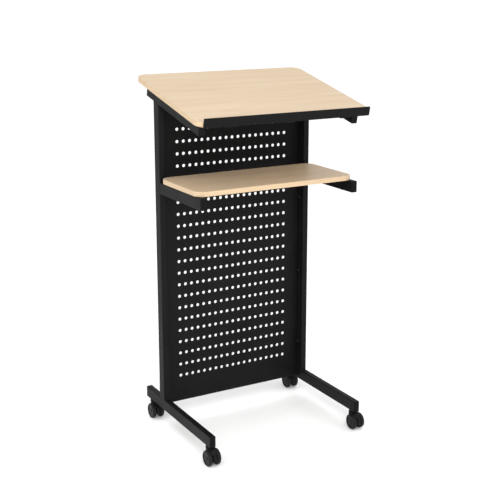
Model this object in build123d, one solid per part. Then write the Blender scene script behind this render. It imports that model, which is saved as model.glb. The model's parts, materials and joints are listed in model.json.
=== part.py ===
from build123d import *
from math import cos, radians, sin
import os

# Mobile lectern stand: two side frames of welded rectangular tube, a perforated back panel
# between them, a tilted reading board with a book stop, a flat shelf and four swivel casters.
# Sizes are in millimetres.
# While a piece is drawn, X is 0 midway between the side frames, Y is 0 at the back faces of
# the posts and Z is 0 at the floor. The speaker stands on the -Y side, so -X is the left.

# Side frames
frame_width = 552.0
post_width = 20.0
post_depth = 35.5
leg_height = 36.5
leg_bottom = 58.0
leg_front = -357.6
leg_back = 104.3
tube_wall = 1.5
tube_corner = 2.5
cap_thickness = 2.0
cap_plug_length = 12.0
cap_clearance = 0.15

# Tilted top
tilt = 13.0
top_arm_height = 25.0
slope_y = 22.8
slope_z = 1078.0
top_arm_front = -337.0
top_arm_back = 27.2
board_thickness = 15.0
board_width = 608.0
board_front = -339.8
board_back = 115.9
board_corner = 33.0
board_shift = 24.7
edge_band = 1.0
edge_round = 0.7

# Book stop along the front edge of the reading board
stop_length = 580.0
stop_height = 29.0
stop_thickness = 2.5
stop_corner = 3.0
stop_tab_count = 3
stop_tab_pitch = 200.0
stop_tab_width = 36.0
stop_tab_depth = 20.0

# Shelf
shelf_bottom = 821.7
shelf_front = -297.0
shelf_back = -37.0
shelf_corner = 31.0
shelf_arm_height = 36.5
shelf_arm_front = -314.6

# Perforated panel
panel_bottom = 66.4
panel_top = 1068.0
sheet = 1.2
panel_gap = 0.3
angle_depth = 20.0
angle_width = 15.0
hem_height = 10.0
hole_diameter = 10.2
hole_columns = 19
hole_rows = 22
hole_pitch_x = 22.0
hole_pitch_z = 39.26
first_row_z = 155.2

# Screws
screw_radius = 2.5
screw_clearance = 0.1
head_radius = 4.5
head_height = 2.8
board_bite = 10.0
panel_screw_length = 9.0
panel_screw_first_z = 198.6
panel_screw_pitch = 260.0
panel_screw_count = 4

# Casters
stem_inset = 28.0
trail = 22.0
wheel_radius = 25.0
wheel_width = 13.5
wheel_gap = 15.0
wheel_round = 4.8
web_width = 11.5
hood_radius = 25.8
hood_crown_radius = 22.3
hood_top = 54.3
hood_bottom = 17.0
hood_back = 8.0
fender_width = 26.0
fender_thickness = 2.6
fender_gap = 0.6
fender_start = 38.0
fender_arc = 84.0
boss_radius = 7.4
boss_bottom = 42.0
collar_radius = 9.0
collar_bottom = 48.0
collar_top = 55.0
stem_radius = 4.0
stem_bottom = 33.5
stem_top = 72.0
flange_across = 16.0
flange_bottom = 55.3
nut_across = 13.0
nut_height = 6.5
axle_radius = 3.0
axle_length = 30.0
running_clearance = 0.05
side_play = 0.5
hub_radius = 8.0
cap_radius = 6.5
rim_width = 6.4
dish_depth = 1.6

# Worked out from the sizes above
post_outer = frame_width / 2
post_inner = post_outer - post_width
post_axis = post_outer - post_width / 2
leg_top = leg_bottom + leg_height
shelf_arm_bottom = shelf_bottom - shelf_arm_height
wheel_outer = wheel_gap / 2 + wheel_width
slope = Plane(
    origin=(0, slope_y, slope_z),
    x_dir=(1, 0, 0),
    z_dir=(0, -sin(radians(tilt)), cos(radians(tilt))),
).location

# The row's origin is under the middle of the whole object, on the floor.
lowest_x = -(post_axis + wheel_outer)
highest_x = board_shift + board_width / 2
lowest_y = leg_front + stem_inset - trail - hood_radius
highest_y = slope_y + board_back * cos(radians(tilt)) - top_arm_height * sin(radians(tilt))
to_origin = Pos(-(lowest_x + highest_x) / 2, -(lowest_y + highest_y) / 2, 0)

SIDES = {"left": -1, "right": 1}


def hexagon(across_flats):
    return RegularPolygon(across_flats / 2, 6, major_radius=False)


def tube(width, height, length):
    """Rectangular tube from Y 0 along +Y, centred on X, with its underside at Z 0."""
    outer = RectangleRounded(width, height, tube_corner)
    inner = RectangleRounded(width - 2 * tube_wall, height - 2 * tube_wall, tube_corner - tube_wall)
    section = Plane.XZ * Pos(0, height / 2) * (outer - inner)
    return extrude(section, amount=-length)


def end_cap(width, height):
    """Plastic plug for a tube whose end is at Y 0: its plate faces -Y."""
    plate = extrude(
        Plane.XZ * Pos(0, height / 2) * RectangleRounded(width, height, tube_corner),
        amount=cap_thickness,
    )
    plate = fillet(plate.faces().sort_by(Axis.Y)[0].edges(), 0.8)
    inside = 2 * (tube_wall + cap_clearance)
    plug = RectangleRounded(width - inside, height - inside, tube_corner - tube_wall)
    core = RectangleRounded(width - inside - 3, height - inside - 3, 0.5)
    ring = extrude(Plane.XZ * Pos(0, height / 2) * (plug - core), amount=-cap_plug_length)
    return plate + ring


def pan_screw(length):
    """Cross-recessed screw driven along +Z: its head is under Z 0."""
    head = Pos(0, 0, -head_height / 2) * Cylinder(head_radius, head_height)
    head = fillet(head.edges().sort_by(Axis.Z)[0], 1.4)
    recess = Box(5.0, 1.0, 2.4) + Box(1.0, 5.0, 2.4)
    shank = Pos(0, 0, length / 2) * Cylinder(screw_radius, length)
    return head - Pos(0, 0, -head_height) * recess + shank


def screw_hole(length):
    radius = screw_radius + screw_clearance
    return Pos(0, 0, length / 2) * Cylinder(radius, length + 2 * screw_clearance)


# Where the screws go


def top_arm_screws():
    run = top_arm_back - top_arm_front
    stations = [top_arm_front + run * part for part in (0.12, 0.5, 0.88)]
    return [slope * Pos(side * post_axis, s, 0) for side in SIDES.values() for s in stations]


def shelf_arm_screws():
    run = shelf_back - shelf_front
    stations = [shelf_front + run * part for part in (0.18, 0.82)]
    return [
        Pos(side * post_axis, y, shelf_arm_bottom) for side in SIDES.values() for y in stations
    ]


def panel_screw_places():
    heights = [panel_screw_first_z + i * panel_screw_pitch for i in range(panel_screw_count)]
    seat = post_inner - panel_gap - sheet
    return [
        Pos(side * seat, -angle_depth * 0.7, z) * Rot(0, side * 90, 0)
        for side in SIDES.values()
        for z in heights
    ]


def stop_tab_places():
    """Middle of each tab's front edge, on the underside of the reading board."""
    middle = (stop_tab_count - 1) / 2
    return [
        slope * Pos(board_shift + (i - middle) * stop_tab_pitch, board_front, top_arm_height)
        for i in range(stop_tab_count)
    ]


def stop_screw_places():
    return [place * Pos(0, stop_tab_depth * 0.6, -stop_thickness) for place in stop_tab_places()]


def drilled(solid, places, length):
    for place in places:
        solid = solid - place * screw_hole(length)
    return solid


# Side frames


def post(side):
    """Upright tube from the leg up to the underside of the tilted arm."""
    middle_y = -post_depth / 2
    outer = RectangleRounded(post_width, post_depth, tube_corner)
    inner = RectangleRounded(
        post_width - 2 * tube_wall, post_depth - 2 * tube_wall, tube_corner - tube_wall
    )
    upright = extrude(
        Pos(side * post_axis, middle_y, leg_top) * (outer - inner), amount=slope_z - leg_top
    )
    above = slope * Pos(0, 0, 100) * Box(2 * frame_width, 400, 200)
    return drilled(upright - above, panel_screw_places(), panel_screw_length)


def caster_places():
    """Stem axes as (name, side, y)."""
    rows = {"front": leg_front + stem_inset, "back": leg_back - stem_inset}
    return [
        (f"{row}_{name}", side, y) for row, y in rows.items() for name, side in SIDES.items()
    ]


def leg(side):
    length = leg_back - leg_front - 2 * cap_thickness
    bar = Pos(side * post_axis, leg_front + cap_thickness, leg_bottom)
    bar = bar * tube(post_width, leg_height, length)
    for _, caster_side, y in caster_places():
        if caster_side == side:
            bar = bar - Pos(side * post_axis, y, leg_bottom) * Cylinder(stem_radius + 0.3, 10)
    return bar


def top_arm(side):
    length = top_arm_back - top_arm_front - 2 * cap_thickness
    start = slope * Pos(side * post_axis, top_arm_front + cap_thickness, 0)
    return drilled(start * tube(post_width, top_arm_height, length), top_arm_screws(), 25)


def shelf_arm(side):
    start_y = shelf_arm_front + cap_thickness
    arm = Pos(side * post_axis, start_y, shelf_arm_bottom)
    arm = arm * tube(post_width, shelf_arm_height, -post_depth - start_y)
    return drilled(arm, shelf_arm_screws(), shelf_arm_height + 4)


def tube_caps():
    """End caps by node name."""
    turn = Rot(0, 0, 180)
    caps = {}
    for name, side in SIDES.items():
        x = side * post_axis
        leg_cap = end_cap(post_width, leg_height)
        arm_cap = end_cap(post_width, top_arm_height)
        caps[f"{name}_leg_front_cap"] = Pos(x, leg_front + cap_thickness, leg_bottom) * leg_cap
        caps[f"{name}_leg_back_cap"] = Pos(x, leg_back - cap_thickness, leg_bottom) * turn * leg_cap
        caps[f"{name}_top_arm_front_cap"] = (
            slope * Pos(x, top_arm_front + cap_thickness, 0) * arm_cap
        )
        caps[f"{name}_top_arm_back_cap"] = (
            slope * Pos(x, top_arm_back - cap_thickness, 0) * turn * arm_cap
        )
        caps[f"{name}_shelf_arm_cap"] = (
            Pos(x, shelf_arm_front + cap_thickness, shelf_arm_bottom)
            * end_cap(post_width, shelf_arm_height)
        )
    return caps


# Back panel


def perforated_panel():
    """Flat sheet with a grid of round holes and a folded hem along its top and bottom edges."""
    width = 2 * (post_inner - panel_gap - sheet) - 0.2
    height = panel_top - panel_bottom
    middle_z = (panel_top + panel_bottom) / 2
    grid_z = first_row_z + (hole_rows - 1) * hole_pitch_z / 2 - middle_z
    holes = Pos(0, grid_z) * GridLocations(hole_pitch_x, hole_pitch_z, hole_columns, hole_rows)
    plate = Rectangle(width, height) - [place * Circle(hole_diameter / 2) for place in holes]
    panel = extrude(Plane.XZ * plate, amount=sheet)
    hem = Box(width, sheet, hem_height)
    for end in (-1, 1):
        panel += Pos(0, -1.5 * sheet, end * (height - hem_height) / 2) * hem
    return Pos(0, -sheet, middle_z) * panel


def panel_angle(side):
    """Angle strip: one leg is behind the sheet's edge and the other lies along the post."""
    height = panel_top - panel_bottom
    outer = post_inner - panel_gap
    middle_z = (panel_top + panel_bottom) / 2
    along_post = Box(sheet, angle_depth, height)
    behind_sheet = Box(angle_width, sheet, height)
    strip = Pos(side * (outer - sheet / 2), -angle_depth / 2, middle_z) * along_post
    strip += Pos(side * (outer - angle_width / 2), -sheet / 2, middle_z) * behind_sheet
    return drilled(strip, panel_screw_places(), panel_screw_length)


# Boards


def laminated(width, depth, corner, place, bores, bore_length):
    """A board's core and the edge band around it, with blind holes for its screws."""
    outline = RectangleRounded(width, depth, corner)
    core_outline = RectangleRounded(width - 2 * edge_band, depth - 2 * edge_band, corner - edge_band)
    core = place * extrude(core_outline, amount=board_thickness)
    band = extrude(outline, amount=board_thickness)
    rims = band.faces().sort_by(Axis.Z)
    band = fillet(rims[0].edges() + rims[-1].edges(), edge_round)
    band = place * (band - extrude(core_outline, amount=board_thickness))
    return drilled(core, bores, bore_length), band


def reading_board():
    depth = board_back - board_front
    place = slope * Pos(board_shift, (board_back + board_front) / 2, top_arm_height)
    core, band = laminated(
        board_width, depth, board_corner, place, top_arm_screws(), top_arm_height + board_bite
    )
    return drilled(core, stop_screw_places(), stop_thickness + board_bite), band


def shelf():
    depth = shelf_back - shelf_front
    place = Pos(0, (shelf_back + shelf_front) / 2, shelf_bottom)
    bore_length = shelf_arm_height + board_bite
    return laminated(frame_width, depth, shelf_corner, place, shelf_arm_screws(), bore_length)


def book_stop():
    """Flat bar along the board's front edge, level with its underside and standing above it."""
    bar = extrude(
        Plane.XZ * RectangleRounded(stop_length, stop_height, stop_corner), amount=stop_thickness
    )
    bar = fillet(bar.faces().sort_by(Axis.Y)[0].edges(), 0.6)
    return slope * Pos(board_shift, board_front, top_arm_height + stop_height / 2) * bar


def book_stop_tabs():
    """Tabs welded to the bar's lower edge, reaching back under the board."""
    length = stop_tab_depth + stop_thickness
    tab = Box(stop_tab_width, length, stop_thickness)
    tab = fillet(tab.edges().filter_by(Axis.Z).group_by(Axis.Y)[-1], stop_corner)
    tab = Pos(0, length / 2 - stop_thickness, -stop_thickness / 2) * tab
    tabs = [place * tab for place in stop_tab_places()]
    return [drilled(tab, stop_screw_places(), stop_thickness) for tab in tabs]


# Casters, each drawn around its stem axis at X 0 and Y 0


def caster_stem():
    """Threaded stem with a hexagonal flange, and the pin that the hood turns on."""
    pin = Pos(0, 0, stem_bottom) * extrude(Circle(stem_radius), amount=stem_top - stem_bottom)
    pin = chamfer(pin.edges().group_by(Axis.Z)[-1] + pin.edges().group_by(Axis.Z)[0], 0.8)
    flange = Pos(0, 0, flange_bottom) * extrude(
        hexagon(flange_across), amount=leg_bottom - flange_bottom
    )
    return pin + flange


def caster_nut():
    nut = extrude(hexagon(nut_across) - Circle(stem_radius + 0.1), amount=nut_height)
    return Pos(0, 0, leg_bottom + tube_wall) * nut


def caster_fender():
    """Curved plate over the wheels' inner halves; its arc starts fender_start above the front."""
    radius = wheel_radius + fender_gap + fender_thickness / 2
    arc = CenterArc((-trail, wheel_radius), radius, 180 - fender_start - fender_arc, fender_arc)
    outline = trace(arc, line_width=fender_thickness)
    return extrude(Plane.YZ * outline, amount=fender_width / 2, both=True)


def caster_hood():
    """Web between the wheels, crowned over their tops, with a fender and a collar on the stem."""
    crown_middle = hood_top - hood_crown_radius
    shoulder = Polygon(
        (hood_back, hood_top),
        (-trail, hood_top),
        (-trail, wheel_radius),
        (0, wheel_radius - 4),
        (hood_back, wheel_radius + 6),
        align=None,
    )
    outline = Pos(-trail, wheel_radius) * Circle(hood_radius) + shoulder
    outline = outline + Pos(-trail, crown_middle) * Circle(hood_crown_radius)
    outline = outline - Pos(-trail, 0) * Rectangle(4 * wheel_radius, 2 * hood_bottom)
    web = extrude(Plane.YZ * outline, amount=web_width / 2, both=True)
    web = fillet(web.faces().filter_by(Axis.X).edges().filter_by(GeomType.CIRCLE), 1.4)
    boss = Pos(0, 0, boss_bottom) * extrude(Circle(boss_radius), amount=hood_top - boss_bottom)
    collar = extrude(Circle(collar_radius), amount=collar_top - collar_bottom)
    collar = Pos(0, 0, collar_bottom) * fillet(collar.edges().filter_by(GeomType.CIRCLE), 1.2)
    hood = web + boss + collar + caster_fender()
    bore = Pos(0, 0, stem_bottom - 0.5) * extrude(
        Circle(stem_radius + running_clearance), amount=hood_top
    )
    axle_bore = Pos(0, -trail, wheel_radius) * Rot(0, 90, 0) * Cylinder(
        axle_radius + running_clearance, 2 * web_width
    )
    return hood - bore - axle_bore


def caster_axle():
    axle = Rot(0, 90, 0) * Cylinder(axle_radius, axle_length)
    axle = chamfer(axle.edges().group_by(Axis.X)[0] + axle.edges().group_by(Axis.X)[-1], 0.5)
    return Pos(0, -trail, wheel_radius) * axle


def caster_wheel(side):
    """Wheel with a rounded tread, a dished outer face and an inner hub; its bore is blind."""
    tread = extrude(Circle(wheel_radius), amount=wheel_width)
    tread = fillet(tread.edges(), wheel_round)
    dish = Circle(wheel_radius - rim_width) - Circle(cap_radius)
    tread = tread - Pos(0, 0, wheel_width - dish_depth) * extrude(dish, amount=dish_depth)
    hub_length = (wheel_gap - web_width) / 2 - side_play
    wheel = tread + extrude(Circle(hub_radius), amount=-hub_length)
    bore_end = (axle_length - wheel_gap) / 2 + side_play
    bore = extrude(Circle(axle_radius + running_clearance), amount=bore_end + hub_length)
    place = Pos(side * wheel_gap / 2, -trail, wheel_radius) * Rot(0, side * 90, 0)
    return place * (wheel - Pos(0, 0, -hub_length) * bore)


def casters():
    nodes = {}
    nuts = []
    for name, side, y in caster_places():
        place = Pos(side * post_axis, y, 0)
        nodes[f"{name}_caster_stem"] = place * caster_stem()
        nodes[f"{name}_caster_hood"] = place * caster_hood()
        nodes[f"{name}_caster_axle"] = place * caster_axle()
        nodes[f"{name}_caster_left_wheel"] = place * caster_wheel(-1)
        nodes[f"{name}_caster_right_wheel"] = place * caster_wheel(1)
        nuts.append(place * caster_nut())
    nodes["caster_nuts"] = Compound(children=nuts)
    return nodes


def screw_groups():
    """Screws by node name, each a little shorter than its hole."""
    groups = {
        "panel_screws": (panel_screw_places(), panel_screw_length),
        "top_board_screws": (top_arm_screws(), top_arm_height + board_bite),
        "shelf_screws": (shelf_arm_screws(), shelf_arm_height + board_bite),
        "book_stop_screws": (stop_screw_places(), stop_thickness + board_bite),
    }
    return {
        name: [place * pan_screw(length - 0.5) for place in places]
        for name, (places, length) in groups.items()
    }


def assembly():
    nodes = {"perforated_panel": perforated_panel(), "book_stop": book_stop()}
    for name, side in SIDES.items():
        nodes[f"{name}_post"] = post(side)
        nodes[f"{name}_leg"] = leg(side)
        nodes[f"{name}_top_arm"] = top_arm(side)
        nodes[f"{name}_shelf_arm"] = shelf_arm(side)
        nodes[f"{name}_panel_angle"] = panel_angle(side)
    nodes["top_board"], nodes["top_edge_band"] = reading_board()
    nodes["shelf_board"], nodes["shelf_edge_band"] = shelf()
    nodes.update(tube_caps())
    nodes.update(casters())
    nodes["book_stop_tabs"] = Compound(children=book_stop_tabs())
    for name, screws in screw_groups().items():
        nodes[name] = Compound(children=screws)
    return nodes


os.makedirs("parts", exist_ok=True)
for node, shape in assembly().items():
    export_step(to_origin * shape, f"parts/{node}.step")
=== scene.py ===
import json
import math

import bmesh
import bpy
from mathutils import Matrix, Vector

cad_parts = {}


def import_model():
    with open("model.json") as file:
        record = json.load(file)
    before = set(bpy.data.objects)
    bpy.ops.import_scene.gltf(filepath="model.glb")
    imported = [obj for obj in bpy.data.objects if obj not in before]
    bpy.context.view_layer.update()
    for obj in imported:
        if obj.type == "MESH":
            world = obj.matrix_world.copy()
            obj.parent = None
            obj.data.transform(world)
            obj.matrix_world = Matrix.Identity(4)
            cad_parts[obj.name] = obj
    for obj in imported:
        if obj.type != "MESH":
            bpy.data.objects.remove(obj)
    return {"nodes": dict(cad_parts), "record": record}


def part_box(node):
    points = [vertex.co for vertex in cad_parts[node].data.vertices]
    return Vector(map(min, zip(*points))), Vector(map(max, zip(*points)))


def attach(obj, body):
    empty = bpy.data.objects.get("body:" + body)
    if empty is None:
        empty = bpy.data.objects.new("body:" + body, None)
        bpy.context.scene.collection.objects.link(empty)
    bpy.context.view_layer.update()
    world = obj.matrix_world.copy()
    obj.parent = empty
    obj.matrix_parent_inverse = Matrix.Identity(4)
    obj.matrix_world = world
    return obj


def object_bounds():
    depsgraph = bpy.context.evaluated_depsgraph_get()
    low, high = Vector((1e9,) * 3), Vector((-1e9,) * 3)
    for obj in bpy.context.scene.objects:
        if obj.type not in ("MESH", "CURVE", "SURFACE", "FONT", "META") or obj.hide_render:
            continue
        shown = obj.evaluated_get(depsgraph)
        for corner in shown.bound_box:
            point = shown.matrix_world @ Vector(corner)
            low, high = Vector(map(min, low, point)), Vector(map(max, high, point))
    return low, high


# The looks of a mobile lectern stand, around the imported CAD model. Everything is in metres.

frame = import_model()
cad_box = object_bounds()

# Camera: where it stands, and the way it looks: from +Y towards +X, and below the horizon
camera_place = (-1.599, -2.757, 1.439)
camera_azimuth = math.radians(29.75)
camera_elevation = math.radians(13.58)
camera_lens = 73.37
camera_sensor = 36
camera_shift = -0.05

# Frame: the slope of the posts' cut tops, the tubes' corner radius, and the angle between two
# faces from which their shared edge is shaded as a sharp one
tilt = math.radians(13)
tube_corner = 0.0025
sharp_edge = math.radians(32)

# Weld beads: how far they reach along each tube, the length and height of their ripples, how far
# their face falls short of a quarter circle, and how big they are at their ends. The last three
# are shares of weld_leg.
weld_leg = 0.0032
weld_ripple = 0.0013
weld_ripple_height = 0.1
weld_flattening = 0.22
weld_end_size = 0.45
weld_steps_per_ripple = 6
weld_face_steps = 6

# Studio dome: its light overhead, and the share of it at each height (the sine of elevation)
zenith_light = 1.36
dome = [(0.0, 0.78), (0.1, 0.5), (0.45, 0.54), (0.7, 1.0)]

# Soft square lights: place, width and power in watts. All of them face the object's middle.
soft_lights = {
    "key": ((-3.0, -1.0, 1.2), 2.0, 20),
    "fill": ((-1.4, -2.9, 2.3), 1.6, 56),
    "low fill": ((-0.8, -3.0, 1.1), 1.2, 18),
}
floor_width = 90
floor_white = (0.95, 0.95, 0.95)

# Colours, as linear RGB
pale_maple = (0.625, 0.492, 0.342)
dark_maple = (0.540, 0.408, 0.268)
pale_band = (0.585, 0.440, 0.280)
dark_band = (0.505, 0.370, 0.230)

# How many rays find a rounded edge's normal
bevel_samples = 6

# A Mix node's colour sockets share their names with its number sockets, so they go by number.
mix_inputs = (0, 6, 7)
mix_output = 2


# Materials


class Shader:
    """A node material around one Principled BSDF, with short helpers for its texture nodes."""

    def __init__(self, name, color, roughness, specular=0.5, metallic=0.0):
        self.material = bpy.data.materials.new(name)
        self.material.use_nodes = True
        self.material.diffuse_color = (*color, 1)
        self.nodes = self.material.node_tree.nodes
        self.links = self.material.node_tree.links
        self.bsdf = self.nodes["Principled BSDF"]
        self.bsdf.inputs["Base Color"].default_value = (*color, 1)
        self.bsdf.inputs["Roughness"].default_value = roughness
        self.bsdf.inputs["Specular IOR Level"].default_value = specular
        self.bsdf.inputs["Metallic"].default_value = metallic
        self.where = self.nodes.new("ShaderNodeTexCoord")

    def put(self, value, socket):
        """Links an output to a socket, or sets the socket to a plain value."""
        if isinstance(value, bpy.types.NodeSocket):
            self.links.new(value, socket)
        elif isinstance(value, tuple):
            socket.default_value = (*value, 1)
        else:
            socket.default_value = value

    def mapped(self, scale):
        node = self.nodes.new("ShaderNodeMapping")
        node.inputs["Scale"].default_value = scale
        self.links.new(self.where.outputs["Object"], node.inputs["Vector"])
        return node.outputs["Vector"]

    def noise(self, scale, detail=2.0, roughness=0.5, distortion=0.0):
        """Noise with scale features per metre, or per metre along each axis."""
        node = self.nodes.new("ShaderNodeTexNoise")
        stretched = isinstance(scale, tuple)
        node.inputs["Scale"].default_value = 1.0 if stretched else scale
        node.inputs["Detail"].default_value = detail
        node.inputs["Roughness"].default_value = roughness
        node.inputs["Distortion"].default_value = distortion
        self.links.new(self.mapped(scale if stretched else (1, 1, 1)), node.inputs["Vector"])
        return node.outputs["Fac"]

    def ramp(self, fac, stops):
        node = self.nodes.new("ShaderNodeValToRGB")
        elements = node.color_ramp.elements
        while len(elements) < len(stops):
            elements.new(0.5)
        for element, (place, color) in zip(elements, stops):
            element.position = place
            element.color = (*color, 1)
        self.links.new(fac, node.inputs["Fac"])
        return node.outputs["Color"]

    def remap(self, value, low, high, from_low=0.3, from_high=0.7):
        """Stretches from_low to from_high over low to high, and holds what is outside."""
        node = self.nodes.new("ShaderNodeMapRange")
        node.inputs["From Min"].default_value = from_low
        node.inputs["From Max"].default_value = from_high
        node.inputs["To Min"].default_value = low
        node.inputs["To Max"].default_value = high
        self.links.new(value, node.inputs["Value"])
        return node.outputs["Result"]

    def mix(self, fac, a, b):
        node = self.nodes.new("ShaderNodeMix")
        node.data_type = "RGBA"
        for value, number in zip((fac, a, b), mix_inputs):
            self.put(value, node.inputs[number])
        return node.outputs[mix_output]

    def calc(self, operation, a, b=0.0):
        node = self.nodes.new("ShaderNodeMath")
        node.operation = operation
        self.put(a, node.inputs[0])
        self.put(b, node.inputs[1])
        return node.outputs[0]

    def bump(self, height, distance, strength, under):
        node = self.nodes.new("ShaderNodeBump")
        node.inputs["Distance"].default_value = distance
        node.inputs["Strength"].default_value = strength
        self.links.new(height, node.inputs["Height"])
        self.links.new(under, node.inputs["Normal"])
        return node.outputs["Normal"]

    def soft_edges(self, radius):
        """A normal rounded over every edge, and how much of an edge each point is."""
        bevel = self.nodes.new("ShaderNodeBevel")
        bevel.samples = bevel_samples
        bevel.inputs["Radius"].default_value = radius
        flat = self.nodes.new("ShaderNodeNewGeometry")
        dot = self.nodes.new("ShaderNodeVectorMath")
        dot.operation = "DOT_PRODUCT"
        self.links.new(bevel.outputs["Normal"], dot.inputs[0])
        self.links.new(flat.outputs["Normal"], dot.inputs[1])
        edge = self.remap(dot.outputs["Value"], 1.0, 0.0, from_low=0.86, from_high=0.995)
        return bevel.outputs["Normal"], edge

    def feed(self, output, socket):
        self.links.new(output, self.bsdf.inputs[socket])


def powder_coat():
    """Satin black powder coat: fine orange peel, slow gloss changes, edges painted paler in
    patches: partly rubbed wear, partly a painted highlight.
    """
    s = Shader("black_powder_coat", (0.005, 0.005, 0.0053), 0.46, specular=0.085)
    rounded, edge = s.soft_edges(0.0009)
    peel = s.noise(1100, detail=3)
    speck = s.noise(3400, detail=1)
    drift = s.noise(9, detail=3)
    patches = s.remap(s.noise(70, detail=4), 0.0, 0.75, from_low=0.42, from_high=0.62)
    # Edges painted paler in patches: partly rubbed wear, partly a painted highlight.
    edge_wear_and_highlight = s.calc("MULTIPLY", edge, patches)
    tone = s.ramp(drift, [(0.3, (0.0042, 0.0042, 0.0044)), (0.7, (0.0064, 0.0064, 0.0067))])
    specks = s.remap(speck, 0, 0.4, from_low=0.55, from_high=0.8)
    tone = s.mix(specks, tone, (0.014, 0.014, 0.0145))
    s.feed(s.mix(edge_wear_and_highlight, tone, (0.035, 0.035, 0.036)), "Base Color")
    polish = s.calc("MULTIPLY", edge_wear_and_highlight, 0.12)
    s.feed(s.calc("SUBTRACT", s.remap(drift, 0.41, 0.53), polish), "Roughness")
    skin = s.bump(peel, distance=0.00014, strength=0.8, under=rounded)
    s.feed(s.bump(speck, distance=0.00002, strength=0.5, under=skin), "Normal")
    return s.material


def shaded(color, share):
    """A colour times a share of its light."""
    return tuple(v * share for v in color)


def maple(name, pale, dark, grain):
    """Maple laminate. grain is how many growth bands there are per metre along each axis."""
    s = Shader(name, pale, 0.42, specular=0.35)
    rounded, edge = s.soft_edges(0.0006)
    bands = s.noise(grain, detail=3, roughness=0.55, distortion=0.7)
    streaks = s.noise(tuple(v * 6 for v in grain), detail=4, roughness=0.65)
    pores = s.noise(tuple(v * 20 for v in grain), detail=1)
    half = tuple((a + b) / 2 for a, b in zip(pale, dark))
    tint = s.ramp(bands, [(0.32, dark), (0.5, half), (0.68, pale)])
    tint = s.mix(s.remap(streaks, 0.32, 0), tint, shaded(dark, 0.84))
    tint = s.mix(s.remap(pores, 0, 0.3, from_low=0.6, from_high=0.78), tint, shaded(dark, 0.66))
    # Edges painted paler than the wood: partly wear, partly a painted highlight.
    s.feed(s.mix(s.calc("MULTIPLY", edge, 0.35), tint, shaded(pale, 1.12)), "Base Color")
    s.feed(s.remap(streaks, 0.36, 0.48), "Roughness")
    grooves = s.bump(streaks, distance=0.00003, strength=0.35, under=rounded)
    s.feed(s.bump(pores, distance=0.00002, strength=0.3, under=grooves), "Normal")
    return s.material


def moulded_plastic(name, tone, roughness, grain):
    """Black moulded plastic with a fine spark-eroded grain, and edges painted slightly paler:
    partly wear, partly a painted highlight.
    """
    s = Shader(name, (tone, tone, tone * 1.04), roughness, specular=0.1)
    rounded, edge = s.soft_edges(0.0005)
    drift = s.noise(60, detail=2)
    shades = s.ramp(drift, [(0.3, (tone * 0.75,) * 3), (0.7, (tone * 1.3,) * 3)])
    # Edges painted paler: partly wear, partly a painted highlight.
    s.feed(s.mix(s.calc("MULTIPLY", edge, 0.4), shades, (tone * 3,) * 3), "Base Color")
    s.feed(s.remap(drift, roughness - 0.05, roughness + 0.07), "Roughness")
    skin = s.noise(grain, detail=2)
    s.feed(s.bump(skin, distance=0.00007, strength=0.6, under=rounded), "Normal")
    return s.material


def wheel_nylon():
    """Black nylon wheel. Its tread, the outermost ring of the wheel, holds a film of floor dust."""
    black, dusty = (0.006, 0.006, 0.0063), (0.03, 0.029, 0.027)
    s = Shader("caster_wheel_nylon", black, 0.42, specular=0.13)
    rounded, _ = s.soft_edges(0.0005)
    split = s.nodes.new("ShaderNodeSeparateXYZ")
    s.links.new(s.where.outputs["Generated"], split.inputs["Vector"])
    across, up = [s.calc("SUBTRACT", split.outputs[axis], 0.5) for axis in ("Y", "Z")]
    squares = s.calc("ADD", s.calc("MULTIPLY", across, across), s.calc("MULTIPLY", up, up))
    tread = s.remap(s.calc("SQRT", squares), 0, 1, from_low=0.487, from_high=0.498)
    film = s.remap(s.noise(320, detail=4), 0.0, 0.4, from_low=0.4, from_high=0.7)
    dust = s.calc("MULTIPLY", tread, film)
    s.feed(s.mix(dust, black, dusty), "Base Color")
    s.feed(s.remap(dust, 0.37, 0.6, from_low=0, from_high=1), "Roughness")
    skin = s.noise(1500, detail=2)
    s.feed(s.bump(skin, distance=0.00003, strength=0.35, under=rounded), "Normal")
    return s.material


def zinc():
    """Zinc-plated steel with faint drawing marks."""
    s = Shader("zinc_plated_steel", (0.56, 0.57, 0.58), 0.34, metallic=1.0)
    rounded, _ = s.soft_edges(0.0004)
    marks = s.noise((400, 400, 4000), detail=3)
    s.feed(s.ramp(marks, [(0.3, (0.46, 0.47, 0.48)), (0.7, (0.62, 0.62, 0.61))]), "Base Color")
    s.feed(s.remap(marks, 0.28, 0.42), "Roughness")
    s.feed(s.bump(marks, distance=0.00001, strength=0.3, under=rounded), "Normal")
    return s.material


def black_oxide():
    """Dark oxide with a slight metallic sheen, its edges painted brighter: partly wear, partly a
    painted highlight.
    """
    s = Shader("black_oxide_steel", (0.02, 0.02, 0.021), 0.4, metallic=0.6)
    rounded, edge = s.soft_edges(0.0004)
    worn = s.noise(900, detail=3)
    tone = s.ramp(worn, [(0.35, (0.014, 0.014, 0.015)), (0.75, (0.035, 0.034, 0.033))])
    # Edges painted brighter: partly wear, partly a painted highlight.
    s.feed(s.mix(s.calc("MULTIPLY", edge, 0.5), tone, (0.12, 0.12, 0.12)), "Base Color")
    s.feed(s.remap(worn, 0.34, 0.5), "Roughness")
    s.feed(s.bump(worn, distance=0.00001, strength=0.3, under=rounded), "Normal")
    return s.material


finishes = {
    "black_powder_coat": powder_coat(),
    "maple_laminate": maple("maple_laminate", pale_maple, dark_maple, grain=(3, 52, 52)),
    "maple_edge_band": maple("maple_edge_band", pale_band, dark_band, grain=(6, 6, 300)),
    "black_end_cap": moulded_plastic("black_end_cap", 0.0028, 0.55, grain=1300),
    "caster_nylon": moulded_plastic("caster_hood_nylon", 0.006, 0.42, grain=1700),
    "zinc_plated_steel": zinc(),
    "black_oxide_steel": black_oxide(),
}
wheel_finish = wheel_nylon()
slots = {part["node"]: part["material_slot"] for part in frame["record"]["subparts"]}


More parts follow.
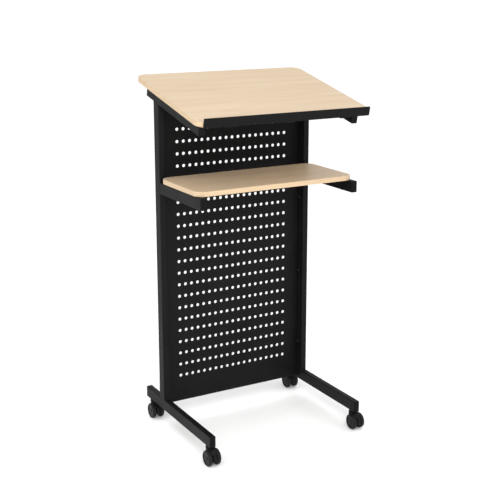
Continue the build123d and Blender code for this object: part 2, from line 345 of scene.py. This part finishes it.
def dress_cad_nodes():
    """Gives every CAD node its finish, and rounds the shading of its curved faces."""
    for node, obj in frame["nodes"].items():
        finish = wheel_finish if node.endswith("_wheel") else finishes[slots[node]]
        obj.data.materials.clear()
        obj.data.materials.append(finish)
        for face in obj.data.polygons:
            face.use_smooth = True
        obj.data.set_sharp_from_angle(angle=sharp_edge)


# Welds, which join the frame's tubes


def weld_section(corner, one_way, other_way, leg):
    """Points round a fillet weld: the corner itself, then its bulging face."""
    points = [corner]
    for step in range(weld_face_steps + 1):
        turn = math.pi / 2 * step / weld_face_steps
        bulge = 1 - weld_flattening * math.sin(2 * turn)
        outward = one_way * math.cos(turn) + other_way * math.sin(turn)
        points.append(corner + outward * leg * bulge)
    return points


def weld(name, start, end, one_way, other_way):
    """A rippled bead along the inside corner from start to end, tapered at its ends."""
    length = (end - start).length
    ripples = round(length / weld_ripple)
    count = ripples * weld_steps_per_ripple
    bm = bmesh.new()
    rings = []
    for i in range(count + 1):
        along = i / count
        ripple = 1 + weld_ripple_height * abs(math.sin(math.pi * ripples * along))
        to_nearer_end = min(along, 1 - along) * length
        taper = min(1, weld_end_size + to_nearer_end / weld_leg)
        leg = weld_leg * ripple * taper
        section = weld_section(start.lerp(end, along), one_way, other_way, leg)
        rings.append([bm.verts.new(p) for p in section])
    for ring, following in zip(rings, rings[1:]):
        for i, vertex in enumerate(ring):
            after = (i + 1) % len(ring)
            bm.faces.new((vertex, ring[after], following[after], following[i]))
    bm.faces.new(rings[0][::-1])
    bm.faces.new(rings[-1])
    bmesh.ops.recalc_face_normals(bm, faces=bm.faces)
    mesh = bpy.data.meshes.new(name)
    bm.to_mesh(mesh)
    bm.free()
    for face in mesh.polygons:
        is_flat_end = len(face.vertices) > 4
        face.use_smooth = not is_flat_end
    mesh.materials.append(finishes["black_powder_coat"])
    obj = bpy.data.objects.new(name, mesh)
    bpy.context.scene.collection.objects.link(obj)
    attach(obj, "frame")


def frame_welds():
    """Beads where each post meets its leg, its shelf arm and its top arm."""
    up, down = Vector((0, 0, 1)), Vector((0, 0, -1))
    front, back = Vector((0, -1, 0)), Vector((0, 1, 0))
    uphill = Vector((0, math.cos(tilt), math.sin(tilt)))
    for side in ("left", "right"):
        low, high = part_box(f"{side}_post")
        leg_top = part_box(f"{side}_leg")[1].z
        shelf_arm_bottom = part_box(f"{side}_shelf_arm")[0].z
        slope_at_front = high.z - (high.y - low.y) * math.tan(tilt)
        beads = {
            "post_foot_front": (low.y, leg_top, up, front),
            "post_foot_back": (high.y, leg_top, up, back),
            "shelf_arm": (low.y, shelf_arm_bottom, down, front),
            "top_arm_front": (low.y, slope_at_front, down, -uphill),
            "top_arm_back": (high.y, high.z, down, uphill),
        }
        for place, (y, z, one_way, other_way) in beads.items():
            start = Vector((low.x + tube_corner, y, z))
            end = Vector((high.x - tube_corner, y, z))
            weld(f"{side}_{place}_weld", start, end, one_way, other_way)


# Studio


def floor():
    bpy.ops.mesh.primitive_plane_add(size=floor_width)
    obj = bpy.context.object
    obj.name = "floor"
    obj.data.materials.append(Shader("floor", floor_white, roughness=0.9, specular=0.0).material)


def world():
    """A white dome with a dim band above the horizon, so that level black faces stay dark."""
    studio = bpy.data.worlds.new("studio")
    studio.use_nodes = True
    nodes, links = studio.node_tree.nodes, studio.node_tree.links
    where = nodes.new("ShaderNodeTexCoord")
    split = nodes.new("ShaderNodeSeparateXYZ")
    ramp = nodes.new("ShaderNodeValToRGB")
    elements = ramp.color_ramp.elements
    while len(elements) < len(dome):
        elements.new(0.5)
    for element, (height, share) in zip(elements, dome):
        element.position = height
        element.color = (share, share, share, 1)
    links.new(where.outputs["Generated"], split.inputs["Vector"])
    links.new(split.outputs["Z"], ramp.inputs["Fac"])
    links.new(ramp.outputs["Color"], nodes["Background"].inputs["Color"])
    nodes["Background"].inputs["Strength"].default_value = zenith_light
    bpy.context.scene.world = studio


def soft_light(name, place, target, width, power):
    data = bpy.data.lights.new(name, "AREA")
    data.size = width
    data.energy = power
    obj = bpy.data.objects.new(name, data)
    bpy.context.scene.collection.objects.link(obj)
    obj.location = place
    obj.rotation_euler = (target - Vector(place)).to_track_quat("-Z", "Y").to_euler()


def lights():
    """A low light from the speaker's left, and a high strong one and a low one from the front."""
    middle = (cad_box[0] + cad_box[1]) / 2
    for name, (place, width, power) in soft_lights.items():
        soft_light(name, place, middle, width, power)


def camera():
    data = bpy.data.cameras.new("camera")
    data.lens = camera_lens
    data.sensor_width = camera_sensor
    data.shift_y = camera_shift
    obj = bpy.data.objects.new("camera", data)
    bpy.context.scene.collection.objects.link(obj)
    flat = math.cos(camera_elevation)
    ahead = Vector((
        math.sin(camera_azimuth) * flat,
        math.cos(camera_azimuth) * flat,
        -math.sin(camera_elevation),
    ))
    obj.location = camera_place
    obj.rotation_euler = ahead.to_track_quat("-Z", "Y").to_euler()
    bpy.context.scene.camera = obj


dress_cad_nodes()
frame_welds()
floor()
world()
lights()
camera()
bpy.context.scene.view_settings.view_transform = "Standard"
